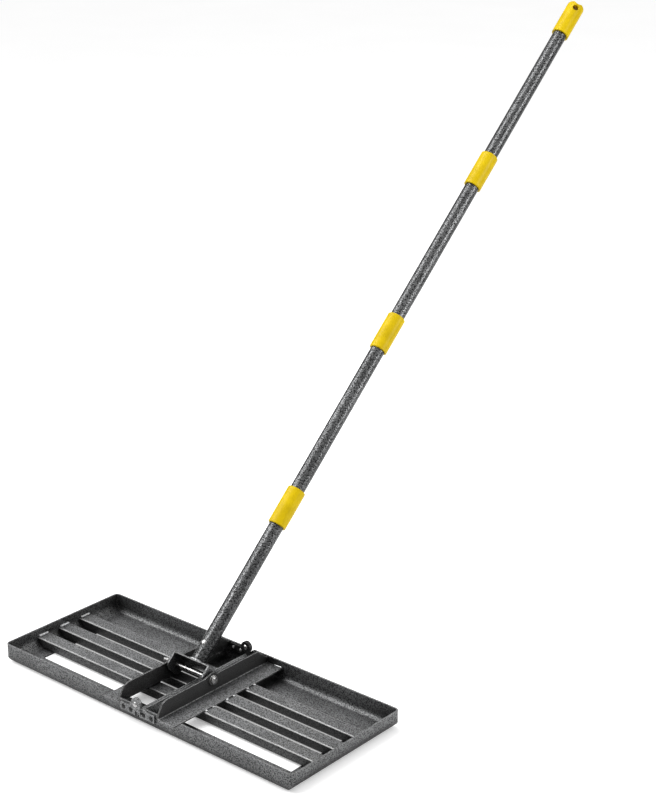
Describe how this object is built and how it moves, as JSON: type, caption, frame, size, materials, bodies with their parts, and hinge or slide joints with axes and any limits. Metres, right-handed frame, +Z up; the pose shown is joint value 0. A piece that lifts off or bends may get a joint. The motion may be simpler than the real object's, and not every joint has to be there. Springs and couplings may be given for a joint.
{
  "type": "folding lawn levelling rake",
  "caption": "Slatted steel levelling plate in two hinged halves, with a long screw-together handle that tilts on one bolt.",
  "frame": {"origin": "middle of the sole on the fold line, on the ground", "axes": "+X along the plate, +Y towards the back edge where the handle leans, +Z up"},
  "size_m": [0.64, 1.1847, 1.0104],
  "materials": {
    "hammered_coat": "dark grey hammered powder coat",
    "charcoal_coat": "smooth charcoal powder coat",
    "black_coat": "black powder coat",
    "zinc_steel": "bright zinc plate",
    "yellow_plastic": "semi-gloss yellow"
  },
  "bodies": {
    "left_half": {"left_tray": "hammered_coat", "left_inner_wall": "hammered_coat", "left_slat_front": "hammered_coat", "left_slat_middle": "hammered_coat", "left_slat_back": "hammered_coat", "left_bracket": "charcoal_coat", "front_leaf_left": "hammered_coat", "rear_leaf_left": "black_coat", "left_leaf_rivets": "hammered_coat", "front_hinge_pin": "zinc_steel", "rear_hinge_pin": "zinc_steel", "pivot_nut": "zinc_steel", "nut_washer": "zinc_steel"},
    "right_half": {"right_tray": "hammered_coat", "right_inner_wall": "hammered_coat", "right_slat_front": "hammered_coat", "right_slat_middle": "hammered_coat", "right_slat_back": "hammered_coat", "right_bracket": "charcoal_coat", "front_leaf_right": "hammered_coat", "rear_leaf_right": "black_coat", "right_leaf_rivets": "hammered_coat", "bolt_head": "zinc_steel", "head_washer": "zinc_steel"},
    "pivot_carrier": {"bolt_shank": "zinc_steel"},
    "handle": {"yoke": "hammered_coat", "tube_socket": "hammered_coat", "socket_rivet": "zinc_steel", "tube_1": "hammered_coat", "tube_2": "hammered_coat", "tube_3": "hammered_coat", "tube_4": "hammered_coat", "thread_socket_1": "zinc_steel", "thread_socket_2": "zinc_steel", "thread_socket_3": "zinc_steel", "thread_stud_1": "zinc_steel", "thread_stud_2": "zinc_steel", "thread_stud_3": "zinc_steel", "collar_1": "yellow_plastic", "collar_2": "yellow_plastic", "collar_3": "yellow_plastic", "end_cap": "yellow_plastic"}
  },
  "joints": [
    {"name": "fold", "type": "hinge", "parent": "left_half", "child": "right_half", "pos_m": [0, 0, 0.036], "axis": [0, -1, 0], "range_deg": [0, 130]},
    {"name": "handle_lift", "type": "slide", "parent": "left_half", "child": "pivot_carrier", "axis": [0, 0, 1], "range_m": [0, 0.6]},
    {"name": "handle_tilt", "type": "hinge", "parent": "pivot_carrier", "child": "handle", "pos_m": [0, -0.006, 0.0425], "axis": [1, 0, 0], "range_deg": [-32.5, 127.5]}
  ],
  "couplings": [
    {"joint": "handle_lift", "follows": "fold", "m_per_rad": 0.2644}
  ]
}
